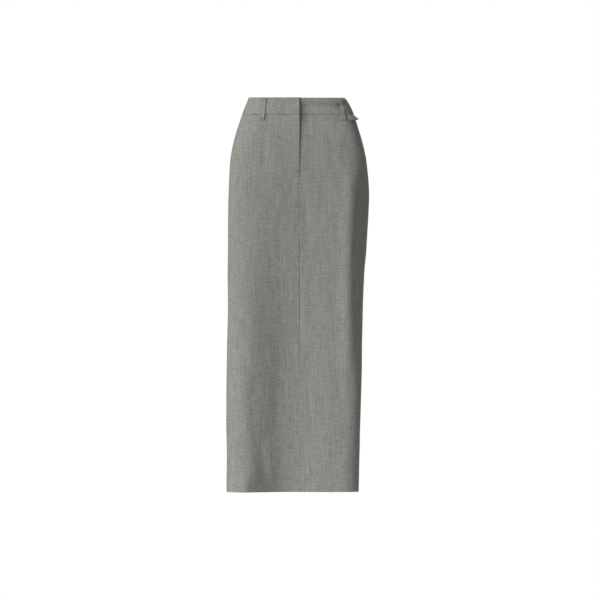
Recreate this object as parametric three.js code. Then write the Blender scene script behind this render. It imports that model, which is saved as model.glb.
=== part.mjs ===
// A long pencil skirt in wool suiting, in the hollow form it has when worn: four body panels with a
// fly front and a back vent, a waistband in two halves, five belt loops and a small side tab.
//
// Millimetres, +Z up. The front faces -Y and the wearer's left is +X. The origin is the centre of
// the waist opening, halfway up the waistband, where the wearer's waist holds the skirt.
//
// Every piece lies on one master surface. A place on it is a turn and a height: turn 0 is the centre
// front seam, +1 the wearer's left side seam, -1 the right side seam, and +2 or -2 the centre back.
import * as THREE from "three";

// Driving dimensions.
const LENGTH = 985; // top edge to hem
const BAND_HEIGHT = 42;
const CLOTH_WALL = 1.4;
const BAND_WALL = 2.4; // two layers of cloth with interlining
const BAND_PROUD = 0.6; // how far the waistband stands above the panels below it
const BAND_ROLL = 6; // height over which the band's top edge rolls in
const SEAM_GAP = 0.3; // between two pieces that are sewn together

const TOP_Z = BAND_HEIGHT / 2;
const WAIST_SEAM_Z = TOP_Z - BAND_HEIGHT;
const HEM_Z = TOP_Z - LENGTH;

// The outline at each drop below the top edge: how far the skirt reaches from the origin to the
// wearer's right and left, to the front and to the back, and where the centre seams run.
const SECTIONS = [
  { drop: 0, right: 120.2, left: 116.6, front: 80, back: 84, frontSeam: 6.8, backSeam: -6 },
  { drop: BAND_ROLL, right: 122, left: 124, front: 81.5, back: 85.5, frontSeam: 6.8, backSeam: -6 },
  { drop: 42, right: 136.6, left: 142, front: 88, back: 96, frontSeam: 6.8, backSeam: -6 },
  { drop: 82, right: 150.8, left: 155, front: 93, back: 106, frontSeam: 6.6, backSeam: -6 },
  { drop: 119, right: 160.8, left: 165.5, front: 96, back: 113, frontSeam: 6.4, backSeam: -6 },
  { drop: 156, right: 167, left: 173.4, front: 98, back: 118, frontSeam: 6.2, backSeam: -6 },
  { drop: 231, right: 171, left: 180, front: 99, back: 121, frontSeam: 6, backSeam: -6 },
  { drop: 306, right: 172.4, left: 178, front: 98, back: 119, frontSeam: 6, backSeam: -7 },
  { drop: 381, right: 172.6, left: 173.4, front: 97, back: 114, frontSeam: 6, backSeam: -8 },
  { drop: 456, right: 173.4, left: 168, front: 96, back: 109, frontSeam: 6, backSeam: -9 },
  { drop: 531, right: 171.8, left: 165, front: 95, back: 105, frontSeam: 6, backSeam: -10 },
  { drop: 681, right: 171.6, left: 162.2, front: 94, back: 101, frontSeam: 6, backSeam: -12 },
  { drop: 831, right: 171.4, left: 158, front: 94, back: 99, frontSeam: 6.6, backSeam: -14 },
  { drop: LENGTH, right: 164.8, left: 154.6, front: 94, back: 98, frontSeam: 7.2, backSeam: -16 },
];
// How square each section is at its right front and left front corners and at the back. 2 makes an
// ellipse and more makes a flatter face with tighter corners.
const CORNERS = [
  { drop: 0, right: 3.1, left: 3.6, back: 2.4 },
  { drop: 42, right: 3.3, left: 4.2, back: 2.4 },
  { drop: 119, right: 4.2, left: 4.5, back: 2.5 },
  { drop: 231, right: 5.4, left: 3.3, back: 2.5 },
  { drop: 381, right: 6, left: 3.3, back: 2.5 },
  { drop: 681, right: 6, left: 5, back: 2.5 },
  { drop: LENGTH, right: 6, left: 5, back: 2.5 },
];
const SIDE_TWIST = 6; // the right side seam sits this far forward, the left one this far back

// The largest folds, as soft ridges (rise above 0) and troughs (below 0) down the cloth. Each runs
// from one turn at its top to another at the hem, and is at full height between two of its drops.
const FOLDS = [
  { name: "right ridge", turn: -0.505, hemTurn: -0.55, starts: 230, full: 760, rise: 23, spread: 50 },
  { name: "right hem ridge", turn: -0.57, hemTurn: -0.585, starts: 860, full: 990, rise: 9, spread: 42 },
  { name: "centre hem trough", turn: -0.12, hemTurn: -0.12, starts: 860, full: 990, rise: -2.5, spread: 34 },
  { name: "centre trough", turn: 0.17, hemTurn: -0.08, starts: 60, full: 300, rise: -9, spread: 80 },
  { name: "left hip ridge", turn: 0.527, hemTurn: 0.53, starts: 120, full: 270, rise: 8, spread: 19 },
  { name: "left hip ridge's end", turn: 0.53, hemTurn: 0.53, starts: 600, full: 760, rise: -6.5, spread: 19 },
  { name: "left low ridge", turn: 0.61, hemTurn: 0.63, starts: 600, full: 760, rise: 4.5, spread: 24 },
  { name: "left side trough", turn: 1.1, hemTurn: 1.02, starts: 420, full: 760, rise: -4, spread: 34 },
  { name: "left back ridge", turn: 1.5, hemTurn: 1.44, starts: 300, full: 760, rise: 7, spread: 40 },
  { name: "left back trough", turn: 1.78, hemTurn: 1.74, starts: 330, full: 720, rise: -6, spread: 36 },
  { name: "right back ridge", turn: -1.66, hemTurn: -1.62, starts: 360, full: 780, rise: 6, spread: 38 },
  { name: "right back trough", turn: -1.32, hemTurn: -1.26, starts: 320, full: 700, rise: -9, spread: 46 },
  { name: "seat hollow", turn: 2, hemTurn: 2, starts: 230, full: 420, rise: -5, spread: 60 },
];

// The fly: the right front laps over the left one down to the bar tack, and both part at the edge.
const FLY = { drop: 184, closes: 204, underlap: 6, reach: 45 };
// At the fly's edge the upper layer lifts and the lower one sinks by these amounts.
const FLY_STEP = [
  { drop: 0, lift: 1.6, sink: 3.1 },
  { drop: 9, lift: 3, sink: 3.4 },
  { drop: 22, lift: 5.4, sink: 4.4 },
  { drop: 45, lift: 5.4, sink: 4.4 },
  { drop: 64, lift: 4, sink: 3.2 },
  { drop: 85, lift: 3, sink: 2.4 },
  { drop: 110, lift: 2.1, sink: 1.7 },
  { drop: 140, lift: 1.6, sink: 1.3 },
  { drop: 184, lift: 1.1, sink: 0.9 },
  { drop: 204, lift: 0.9, sink: 0.9 },
  { drop: 240, lift: 0, sink: 0 },
];
// Beside the fly the left front sinks this much more, as a share, and then comes up again.
const HOLLOW = { more: 0.9, deepest: 24, turns: 92, ends: 165 };
const SHIELD = { width: 38, inset: 9, wall: 1.4 }; // the strip behind the fly
const ZIP = { width: 24, inset: 3, wall: 0.8, length: 148 };
const HOOK = { from: 8, to: 21, height: 12, wall: 1.4, lift: 0.3 }; // hook and bar, fastened

// The back vent: the right back runs on under the left one.
const VENT = { drop: 665, underlap: 40, sink: 2.2, level: 8, settled: 30 };

// The belt loops, each by its turn at the top edge and at its foot.
const LOOPS = [
  { name: "belt_loop_front_right", turn: -0.508, footTurn: -0.458 },
  { name: "belt_loop_front_left", turn: 0.612, footTurn: 0.546 },
  { name: "belt_loop_back_right", turn: -1.44, footTurn: -1.5 },
  { name: "belt_loop_back_left", turn: 1.44, footTurn: 1.5 },
  { name: "belt_loop_centre_back", turn: 2, footTurn: 2 },
];
// Each end is two layers thick over its seat, and eases into the free middle.
const LOOP = { width: 12, head: 1.8, foot: 36, wall: 1.1, fold: 2.4, bow: 0.8, clear: 0.3, seat: 6, ease: 16 };

// The side tab: a folded strip sewn into the waist seam, standing off the hip forwards and down.
const TAB = { turn: 0.65, below: 3.2, width: 22, length: 20, wall: 1.3, gap: 0.8, clear: 1.1 };
const TAB_REACH = new THREE.Vector3(0.5, -0.64, -0.58).normalize();

const CLOTH_COLOUR = 0x8a8984;
const cloth = new THREE.MeshStandardMaterial({ color: CLOTH_COLOUR, roughness: 0.92, metalness: 0 });
const zipTape = new THREE.MeshStandardMaterial({ color: 0x6d6c68, roughness: 0.8, metalness: 0 });
const steel = new THREE.MeshStandardMaterial({ color: 0xb9babb, roughness: 0.35, metalness: 1 });

const { clamp, lerp, smoothstep } = THREE.MathUtils;
const dropOf = (z) => TOP_Z - z;

// A column of a table at one drop, on a smooth curve through the rows.
function tableAt(rows, column, drop) {
  const last = rows.length - 1;
  const k = clamp(rows.findIndex((row) => row.drop > drop) - 1, 0, last - 1);
  const at = drop >= rows[last].drop ? last - 1 : k;
  const slope = (i) => {
    const before = rows[Math.max(i - 1, 0)];
    const after = rows[Math.min(i + 1, last)];
    return (after[column] - before[column]) / (after.drop - before.drop);
  };
  const span = rows[at + 1].drop - rows[at].drop;
  const s = clamp((drop - rows[at].drop) / span, 0, 1);
  const startWeight = 2 * s ** 3 - 3 * s ** 2 + 1;
  return (
    startWeight * rows[at][column] +
    (1 - startWeight) * rows[at + 1][column] +
    (s ** 3 - 2 * s ** 2 + s) * span * slope(at) +
    (s ** 3 - s ** 2) * span * slope(at + 1)
  );
}

// One level section as a closed line that starts and ends at the centre back seam, with the length
// along it to each point and to each seam.
const RING_STEPS = 480;
const rings = new Map();
function ringAt(z) {
  const key = Math.round(z * 1000);
  if (rings.has(key)) return rings.get(key);
  const row = (column) => tableAt(SECTIONS, column, dropOf(z));
  const centreX = (row("left") - row("right")) / 2;
  const halfWidth = (row("left") + row("right")) / 2;
  const front = row("front");
  const back = row("back");
  const backAngle = Math.PI / 2 - Math.atan((row("backSeam") - centreX) / back);
  const seamAngles = [
    backAngle,
    Math.PI + Math.atan(SIDE_TWIST / halfWidth),
    1.5 * Math.PI + Math.atan((row("frontSeam") - centreX) / front),
    2 * Math.PI + Math.atan(SIDE_TWIST / halfWidth),
    backAngle + 2 * Math.PI,
  ];
  const squareness = (column) => tableAt(CORNERS, column, dropOf(z));
  const square = { right: squareness("right"), left: squareness("left"), back: squareness("back") };
  const pointAt = (angle) => {
    const x = Math.cos(angle);
    const y = Math.sin(angle);
    const depth = y > 0 ? back : front;
    const power = y > 0 ? square.back : x < 0 ? square.right : square.left;
    const reach = (Math.abs(x / halfWidth) ** power + Math.abs(y / depth) ** power) ** (-1 / power);
    return new THREE.Vector2(centreX + reach * x, reach * y);
  };
  const points = [];
  const lengths = [0];
  for (let i = 0; i <= RING_STEPS; i++) {
    points.push(pointAt(backAngle + (2 * Math.PI * i) / RING_STEPS));
    if (i) lengths.push(lengths[i - 1] + points[i].distanceTo(points[i - 1]));
  }
  const seams = seamAngles.map((angle) => {
    const place = ((angle - backAngle) / (2 * Math.PI)) * RING_STEPS;
    const i = Math.min(Math.floor(place), RING_STEPS - 1);
    return lerp(lengths[i], lengths[i + 1], place - i);
  });
  const ring = { points, lengths, seams };
  rings.set(key, ring);
  return ring;
}

// Turns run from -2 to 2 and carry on round past the centre back.
const wrapped = (turn) => THREE.MathUtils.euclideanModulo(turn + 2, 4) - 2;

// The length of cloth, in one turn, at a place.
function turnLength(turn, z) {
  const { seams } = ringAt(z);
  const k = clamp(Math.floor(wrapped(turn) + 2), 0, 3);
  return seams[k + 1] - seams[k];
}

function foldHeight(turn, z) {
  const drop = dropOf(z);
  const quarter = ringAt(z).seams[4] / 4;
  return FOLDS.reduce((sum, fold) => {
    const middle = lerp(fold.turn, fold.hemTurn, clamp((drop - fold.starts) / (LENGTH - fold.starts), 0, 1));
    const away = wrapped(turn - middle) * quarter;
    const strength = smoothstep(drop, fold.starts, fold.full);
    return sum + fold.rise * strength * Math.exp(-((away / fold.spread) ** 2));
  }, 0);
}

// A point of the master surface: the level section, pushed level in or out by the folds.
function master(turn, z) {
  const { points, lengths, seams } = ringAt(z);
  const t = wrapped(turn) + 2;
  const k = clamp(Math.floor(t), 0, 3);
  const along = lerp(seams[k], seams[k + 1], t - k);
  let low = 0;
  let high = RING_STEPS;
  while (high - low > 1) {
    const middle = (low + high) >> 1;
    if (lengths[middle] <= along) low = middle;
    else high = middle;
  }
  const share = (along - lengths[low]) / (lengths[high] - lengths[low]);
  const flat = points[low].clone().lerp(points[high], share);
  const before = points[(low + RING_STEPS - 1) % RING_STEPS];
  const after = points[(high + 1) % RING_STEPS];
  const direction = points[high].clone().sub(before).lerp(after.clone().sub(points[low]), share).normalize();
  const push = foldHeight(turn, z);
  return new THREE.Vector3(flat.x + direction.y * push, flat.y - direction.x * push, z);
}

// The master surface's outward normal.
function outward(turn, z) {
  const TURN_STEP = 0.004;
  const Z_STEP = 1;
  const round = master(turn + TURN_STEP, z).sub(master(turn - TURN_STEP, z));
  const up = master(turn, z + Z_STEP).sub(master(turn, z - Z_STEP));
  return round.cross(up).normalize();
}

const offPoint = (turn, z, off) => master(turn, z).addScaledVector(outward(turn, z), off);

// Levels from low to high that include every break, with no step over the given one.
function levels(breaks, step) {
  const found = [breaks[0]];
  for (let i = 1; i < breaks.length; i++) {
    const count = Math.ceil((breaks[i] - breaks[i - 1]) / step);
    for (let k = 1; k <= count; k++) found.push(lerp(breaks[i - 1], breaks[i], k / count));
  }
  return found;
}

// A closed wall between an outer and an inner grid of points. pointAt(row, column, side) gives a
// point, with side 0 outside and 1 inside; columns run along the turn and rows go up.
function closedWall(rows, columns, pointAt) {
  const positions = [];
  const index = [];
  const at = (side, row, column) => (side * (rows + 1) + row) * (columns + 1) + column;
  for (const side of [0, 1])
    for (let row = 0; row <= rows; row++)
      for (let column = 0; column <= columns; column++)
        positions.push(...pointAt(row, column, side).toArray());
  const quad = (a, b, c, d) => index.push(a, b, c, a, c, d);
  for (let row = 0; row < rows; row++) {
    for (let column = 0; column < columns; column++) {
      quad(at(0, row, column), at(0, row, column + 1), at(0, row + 1, column + 1), at(0, row + 1, column));
      quad(at(1, row, column), at(1, row + 1, column), at(1, row + 1, column + 1), at(1, row, column + 1));
    }
    quad(at(0, row, 0), at(0, row + 1, 0), at(1, row + 1, 0), at(1, row, 0));
    quad(at(0, row, columns), at(1, row, columns), at(1, row + 1, columns), at(0, row + 1, columns));
  }
  for (let column = 0; column < columns; column++) {
    quad(at(0, 0, column), at(1, 0, column), at(1, 0, column + 1), at(0, 0, column + 1));
    quad(at(0, rows, column), at(0, rows, column + 1), at(1, rows, column + 1), at(1, rows, column));
  }
  const geometry = new THREE.BufferGeometry();
  geometry.setAttribute("position", new THREE.Float32BufferAttribute(positions, 3));
  geometry.setIndex(index);
  geometry.computeVertexNormals();
  return geometry;
}

// A piece of cloth on the master surface, between two edges given as turns that may vary with
// height. off(turn, z) is how far its outer face stands above the surface, and crowd draws the
// columns towards the first edge (above 1) or the last one (below 0).
function clothWall({ zs, from, to, columns, off, wall, crowd = 1 }) {
  return closedWall(zs.length - 1, columns, (row, column, side) => {
    const z = zs[row];
    const c = column / columns;
    const share = crowd > 0 ? c ** crowd : 1 - (1 - c) ** -crowd;
    const turn = lerp(from(z), to(z), share);
    return offPoint(turn, z, off(turn, z) - side * wall);
  });
}

// How strongly a place feels the fly's edge: 1 at the edge and 0 beyond the fly's reach.
function nearFly(turn, z) {
  return 1 - smoothstep(Math.abs(turn) * turnLength(turn, z), 0, FLY.reach);
}
const flyLift = (turn, z) => tableAt(FLY_STEP, "lift", dropOf(z)) * nearFly(turn, z);
function flySink(turn, z) {
  const away = Math.max(turn, 0) * turnLength(Math.abs(turn), z);
  const sinks = 1 + HOLLOW.more * smoothstep(away, 0, HOLLOW.deepest);
  const rises = (1 + HOLLOW.more) * smoothstep(away, HOLLOW.turns, HOLLOW.ends);
  return tableAt(FLY_STEP, "sink", dropOf(z)) * (sinks - rises);
}
// What is sewn on top of the fronts follows the right one up and the left one down.
const besideFly = (turn, z) => (turn < 0 ? flyLift(turn, z) : -flySink(turn, z));

// Lengths along the cloth at a seam, as turns.
const acrossFront = (mm, z) => mm / turnLength(mm < 0 ? -0.5 : 0.5, z);
const halfGap = (z) => SEAM_GAP / 2 / turnLength(0.5, z);

const BODY_STEP = 26;
const PANEL_COLUMNS = 15;
const flyEndZ = TOP_Z - FLY.drop;
const flyClosedZ = TOP_Z - FLY.closes;
const flySettledZ = TOP_Z - FLY_STEP.at(-1).drop;
const ventZ = TOP_Z - VENT.drop;
const panelTop = WAIST_SEAM_Z - SEAM_GAP / 2;
const bodyBreaks = [HEM_Z, ventZ - VENT.underlap, ventZ, flySettledZ, flyClosedZ, flyEndZ, panelTop];
const bodyLevels = levels(bodyBreaks, BODY_STEP);

const frontRight = () =>
  clothWall({
    zs: bodyLevels,
    from: (z) => -1 + halfGap(z),
    to: (z) => -halfGap(z),
    columns: PANEL_COLUMNS,
    off: flyLift,
    wall: CLOTH_WALL,
    crowd: -1.5,
  });

// The left front reaches under the right one as far as the fly goes, and stops at the seam below.
const frontLeft = () =>
  clothWall({
    zs: bodyLevels,
    from: (z) => lerp(acrossFront(-FLY.underlap, z), halfGap(z), smoothstep(-z, -flyEndZ, -flyClosedZ)),
    to: (z) => 1 - halfGap(z),
    columns: PANEL_COLUMNS,
    off: (turn, z) => -flySink(turn, z),
    wall: CLOTH_WALL,
    crowd: 1.5,
  });

const backLeft = () =>
  clothWall({
    zs: bodyLevels,
    from: (z) => 1 + halfGap(z),
    to: (z) => 2 - halfGap(z),
    columns: PANEL_COLUMNS,
    off: () => 0,
    wall: CLOTH_WALL,
    crowd: -1.5,
  });

// The right back runs on under the left one in the vent, whose top is cut on a slant.
const ventOpen = (z) => smoothstep(ventZ - z, 0, VENT.underlap);
const backRight = () =>
  clothWall({
    zs: bodyLevels,
    from: (z) => -2 + halfGap(z) - (ventOpen(z) * VENT.underlap) / turnLength(1.5, z),
    to: (z) => -1 - halfGap(z),
    columns: PANEL_COLUMNS,
    off: (turn, z) => {
      const past = (turn + 2) * turnLength(-1.5, z);
      const opened = smoothstep(ventZ + VENT.underlap - z, 0, VENT.underlap);
      return -VENT.sink * opened * (1 - smoothstep(past, VENT.level, VENT.settled));
    },
    wall: CLOTH_WALL,
    crowd: 1.5,
  });

const BAND_COLUMNS = 34;
const bandLevels = levels([WAIST_SEAM_Z + SEAM_GAP, TOP_Z - BAND_ROLL, TOP_Z], BAND_HEIGHT / 4);

const waistbandRight = () =>
  clothWall({
    zs: bandLevels,
    from: (z) => -2 + halfGap(z),
    to: () => 0,
    columns: BAND_COLUMNS,
    off: (turn, z) => BAND_PROUD + flyLift(turn, z),
    wall: BAND_WALL,
  });

// The left half carries the underlap that the right half fastens over.
const waistbandLeft = () =>
  clothWall({
    zs: bandLevels,
    from: (z) => acrossFront(-SHIELD.width, z),
    to: (z) => 2 - halfGap(z),
    columns: BAND_COLUMNS,
    off: (turn, z) => BAND_PROUD - flySink(turn, z),
    wall: BAND_WALL,
  });

// Behind the fly lie the zip and then the shield, each a seam gap below the piece above it.
const zipOff = (turn, z) => -flySink(turn, z) - CLOTH_WALL - SEAM_GAP;
const shieldOff = (turn, z) => zipOff(turn, z) - ZIP.wall - SEAM_GAP;
const flyStrip = (width, inset, length, off, wall) =>
  clothWall({
    zs: levels([panelTop - length, panelTop], BODY_STEP),
    from: (z) => acrossFront(-width, z),
    to: (z) => acrossFront(inset, z),
    columns: 5,
    off,
    wall,
  });
const flyZip = () => flyStrip(ZIP.width, ZIP.inset, ZIP.length, zipOff, ZIP.wall);
const flyShield = () => flyStrip(SHIELD.width, SHIELD.inset, FLY.drop - BAND_HEIGHT, shieldOff, SHIELD.wall);

// The hook and bar lie fastened between the two ends of the waistband.
const waistHook = () =>
  clothWall({
    zs: [-HOOK.height / 2, HOOK.height / 2],
    from: (z) => acrossFront(-HOOK.to, z),
    to: (z) => acrossFront(-HOOK.from, z),
    columns: 2,
    off: (turn, z) => BAND_PROUD - flySink(turn, z) + HOOK.lift + HOOK.wall,
    wall: HOOK.wall,
  });

// A belt loop is a strip whose two ends are folded under and sewn down, and that bows in between.
function beltLoop({ turn, footTurn }) {
  const ROWS = 14;
  const COLUMNS = 3;
  const headZ = TOP_Z - LOOP.head;
  const footZ = -LOOP.foot;
  return closedWall(ROWS, COLUMNS, (row, column, side) => {
    const up = row / ROWS;
    const z = lerp(footZ, headZ, up);
    const middle = lerp(footTurn, turn, up);
    const across = (column / COLUMNS - 0.5) * LOOP.width;
    const place = middle + across / turnLength(middle, z);
    const free = smoothstep(Math.min(z - footZ, headZ - z), LOOP.seat, LOOP.ease);
    const seat = LOOP.clear + BAND_PROUD * smoothstep(z, footZ, WAIST_SEAM_Z);
    const bow = LOOP.bow * Math.sin(Math.PI * up);
    const under = seat + free * bow;
    const over = seat + bow + lerp(LOOP.fold, LOOP.wall, free);
    return offPoint(place, z, besideFly(place, z) + (side ? under : over));
  });
}

// The side tab is a hairpin of cloth, drawn in its own plane and stretched along the waist seam.
function sideTab() {
  const z = WAIST_SEAM_Z - TAB.below;
  const halfTurn = TAB.width / 2 / turnLength(TAB.turn, z);
  const rootAt = (turn) => offPoint(turn, z, besideFly(turn, z) + TAB.clear);
  const along = rootAt(TAB.turn + halfTurn).sub(rootAt(TAB.turn - halfTurn)).normalize();
  const across = along.clone().cross(TAB_REACH).normalize();

  const outer = TAB.wall + TAB.gap / 2;
  const inner = TAB.gap / 2;
  const bend = TAB.length - outer;
  const hairpin = new THREE.Shape();
  hairpin.moveTo(0, -outer);
  hairpin.lineTo(bend, -outer);
  hairpin.absarc(bend, 0, outer, -Math.PI / 2, Math.PI / 2, false);
  hairpin.lineTo(0, outer);
  hairpin.lineTo(0, inner);
  hairpin.lineTo(bend, inner);
  hairpin.absarc(bend, 0, inner, Math.PI / 2, -Math.PI / 2, true);
  hairpin.lineTo(0, -inner);
  const options = { depth: TAB.width, bevelEnabled: false, curveSegments: 8 };
  const geometry = new THREE.ExtrudeGeometry(hairpin, options);
  geometry.translate(0, 0, -TAB.width / 2);
  geometry.applyMatrix4(new THREE.Matrix4().makeBasis(TAB_REACH, across, along));
  geometry.translate(...rootAt(TAB.turn).toArray());
  return geometry;
}

const skirt = new THREE.Group();
function add(name, geometry, material = cloth) {
  const mesh = new THREE.Mesh(geometry, material);
  mesh.name = name;
  skirt.add(mesh);
}
add("front_right", frontRight());
add("front_left", frontLeft());
add("back_right", backRight());
add("back_left", backLeft());
add("waistband_right", waistbandRight());
add("waistband_left", waistbandLeft());
add("fly_shield", flyShield());
add("fly_zip", flyZip(), zipTape);
add("waist_hook", waistHook(), steel);
for (const loop of LOOPS) add(loop.name, beltLoop(loop));
add("side_tab", sideTab());

export default skirt;
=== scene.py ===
# A long pencil skirt in grey melange wool suiting, in the hollow form it has when worn.
#
# Sizes are in millimetres until a mesh is made, and then in metres. The front faces -Y and the
# wearer's left is +X. Every piece of cloth lies on one surface, and a place on it is a turn and a
# height: turn 0 is the centre front seam, +1 the left side seam, -1 the right side seam, and +2 or
# -2 the centre back. "Off" is how far a point stands out from that surface.
import math

import bpy
import numpy as np
from mathutils import Matrix, Vector


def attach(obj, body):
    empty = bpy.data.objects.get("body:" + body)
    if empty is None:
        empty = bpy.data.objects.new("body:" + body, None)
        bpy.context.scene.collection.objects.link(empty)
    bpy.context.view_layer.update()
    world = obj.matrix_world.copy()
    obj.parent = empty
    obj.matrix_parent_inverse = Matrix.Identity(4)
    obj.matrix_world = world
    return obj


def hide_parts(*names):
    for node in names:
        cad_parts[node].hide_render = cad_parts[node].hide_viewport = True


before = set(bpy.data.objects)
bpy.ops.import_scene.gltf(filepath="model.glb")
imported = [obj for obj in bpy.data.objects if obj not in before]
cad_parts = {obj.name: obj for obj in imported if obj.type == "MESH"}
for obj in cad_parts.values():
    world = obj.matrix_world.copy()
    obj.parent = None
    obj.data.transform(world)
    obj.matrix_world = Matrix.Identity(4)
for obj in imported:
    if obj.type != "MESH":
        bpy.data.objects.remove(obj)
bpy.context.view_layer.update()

MM = 0.001

# Sizes of the skirt
LENGTH = 985
BAND_HEIGHT = 42
BAND_PROUD = 0.6
BAND_WALL = 2.8  # cloth, interlining and cloth
BAND_ROLL = 6
CLOTH = 0.9
TWO_LAYERS = 1.8  # cloth folded back on itself, pressed
ALLOWANCE = 13
HEM_DEPTH = 40
FACING = 36  # turned back behind the fly and the vent
TOP_Z = BAND_HEIGHT / 2
WAIST_SEAM_Z = TOP_Z - BAND_HEIGHT
HEM_Z = TOP_Z - LENGTH
FLY_DROP = 184
VENT_DROP = 665


def named_rows(names, rows):
    """A table whose columns are read by name."""
    return {name: np.array([row[i] for row in rows]) for i, name in enumerate(names.split())}


# How far the skirt reaches from its origin to each side at each drop below the top edge, and where
# its centre front and centre back seams run.
SECTIONS = named_rows(
    "drop right left front back front_seam back_seam",
    [
        (0, 120.2, 116.6, 80, 84, 6.8, -6),
        (BAND_ROLL, 122, 124, 81.5, 85.5, 6.8, -6),
        (42, 136.6, 142, 88, 96, 6.8, -6),
        (82, 150.8, 155, 93, 106, 6.6, -6),
        (119, 160.8, 165.5, 96, 113, 6.4, -6),
        (156, 167, 173.4, 98, 118, 6.2, -6),
        (231, 171, 180, 99, 121, 6, -6),
        (306, 172.4, 178, 98, 119, 6, -7),
        (381, 172.6, 173.4, 97, 114, 6, -8),
        (456, 173.4, 168, 96, 109, 6, -9),
        (531, 171.8, 165, 95, 105, 6, -10),
        (681, 171.6, 162.2, 94, 101, 6, -12),
        (831, 171.4, 158, 94, 99, 6.6, -14),
        (LENGTH, 164.8, 154.6, 94, 98, 7.2, -16),
    ],
)

# How square each section is: 2 is an ellipse, and more is a flatter face with tighter corners.
CORNERS = named_rows(
    "drop right left back",
    [
        (0, 3.1, 3.6, 2.4),
        (42, 3.3, 4.2, 2.4),
        (119, 4.2, 4.5, 2.5),
        (231, 5.4, 3.3, 2.5),
        (381, 6, 3.3, 2.5),
        (681, 6, 5, 2.5),
        (LENGTH, 6, 5, 2.5),
    ],
)
SIDE_TWIST = 6

# The largest folds, which the solids have too: ridges rise and troughs sink, each from its turn at
# the top to its turn at the hem, and in full between two drops.
FOLDS = named_rows(
    "turn hem_turn starts full rise spread",
    [
        (-0.505, -0.55, 230, 760, 23, 50),
        (-0.57, -0.585, 860, 990, 9, 42),
        (-0.12, -0.12, 860, 990, -2.5, 34),
        (0.17, -0.08, 60, 300, -9, 80),
        (0.527, 0.53, 120, 270, 8, 19),
        (0.53, 0.53, 600, 760, -6.5, 19),
        (0.61, 0.63, 600, 760, 4.5, 24),
        (1.1, 1.02, 420, 760, -4, 34),
        (1.5, 1.44, 300, 760, 7, 40),
        (1.78, 1.74, 330, 720, -6, 36),
        (-1.66, -1.62, 360, 780, 6, 38),
        (-1.32, -1.26, 320, 700, -9, 46),
        (2, 2, 230, 420, -5, 60),
    ],
)

# Smaller creases: each runs from one drop and turn to another and fades at both ends.
CREASES = named_rows(
    "drop turn end_drop end_turn rise spread",
    [
        (48, -0.40, 210, -0.36, -1.5, 9),
        (60, -0.30, 190, -0.24, 0.8, 11),
        (205, 0.03, 420, 0.10, -1.3, 12),
        (185, 0.10, 330, 0.30, 0.9, 14),
        (170, -0.03, 300, -0.16, -0.8, 12),
        (420, 0.07, 610, 0.065, 1.1, 8),
        (640, 0.09, 860, 0.12, -0.8, 11),
        (520, -0.28, 900, -0.33, 1.6, 13),
        (610, -0.47, 985, -0.45, -1.8, 12),
        (820, -0.40, 990, -0.37, -2.2, 10),
        (850, -0.30, 995, -0.27, 1.2, 10),
        (925, -0.535, 1040, -0.58, 6, 12),
        (120, 0.62, 380, 0.56, 1.4, 10),
        (90, 0.82, 330, 0.74, -1.8, 13),
        (330, 0.86, 690, 0.80, -1.4, 14),
        (520, 0.60, 930, 0.66, 1.1, 15),
        (700, 0.34, 960, 0.30, 0.8, 16),
        (80, -0.78, 260, -0.70, 1.0, 12),
        (250, -0.86, 640, -0.80, -1.2, 14),
        (90, 1.28, 300, 1.36, -1.5, 14),
        (160, 1.70, 420, 1.60, 1.4, 15),
        (330, 1.26, 700, 1.32, -1.7, 14),
        (560, 1.64, 930, 1.60, 1.4, 15),
        (690, 1.88, 985, 1.86, -1.3, 14),
        (70, -1.22, 280, -1.30, -1.5, 13),
        (150, -1.66, 400, -1.56, 1.4, 15),
        (360, -1.52, 720, -1.46, 1.6, 15),
        (600, -1.14, 960, -1.10, -1.5, 14),
        (700, -1.86, 985, -1.84, 1.1, 12),
        (260, 1.96, 360, 1.78, 1.0, 10),
        (300, -1.95, 410, -1.76, 1.0, 10),
    ],
)

CREASE_FADES = (0.35, 0.6)  # a crease is full between these shares of its length

# How uneven the cloth hangs: a rise, with so many swells across and down.
UNEVEN = ((0.55, 22, 7), (0.22, 60, 26))
HEM_WAVE = {"swing": 1.1, "above_hem": 170, "swells": 34}

# The seams that pucker a little, and the darts that take in the back.
SEAM_TURNS = (-2, -1, 0, 1, 2)
PUCKER = {"rise": 0.55, "spread": 7, "wave": 26, "below_band": 14}
DART = {
    "turn": 1.52, "full_drop": 60, "end_drop": 165, "depth": 0.75, "width": 1.1, "swell": 1.6,
    "swell_width": 12,
}

# At the fly's edge the right front lifts and the left one sinks by these amounts.
FLY_STEP = named_rows(
    "drop lift sink",
    [
        (0, 0.8, 3.1),
        (9, 2, 3.4),
        (22, 4.2, 4.4),
        (45, 4.4, 4.4),
        (64, 3.6, 3.2),
        (85, 2.8, 2.4),
        (110, 2.1, 1.7),
        (140, 1.6, 1.3),
        (184, 1.0, 0.8),
        (204, 0.6, 0.5),
        (228, 0, 0),
    ],
)
FLY_REACH = 45
FLY_HOLLOW = {"more": 0.9, "deepest": 24, "turns": 92, "ends": 165}
FLY_UNDERLAP = 6
FLY_CLOSES = 204
VENT = {"underlap": 40, "sink": 2.2, "level": 8, "settled": 30, "folds_over": 12}


def smooth(value, low, high):
    """0 below low, 1 above high, and an even S between them."""
    t = np.clip((value - low) / (high - low), 0, 1)
    return t * t * (3 - 2 * t)


def mix(a, b, share):
    return a + (b - a) * share


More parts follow.
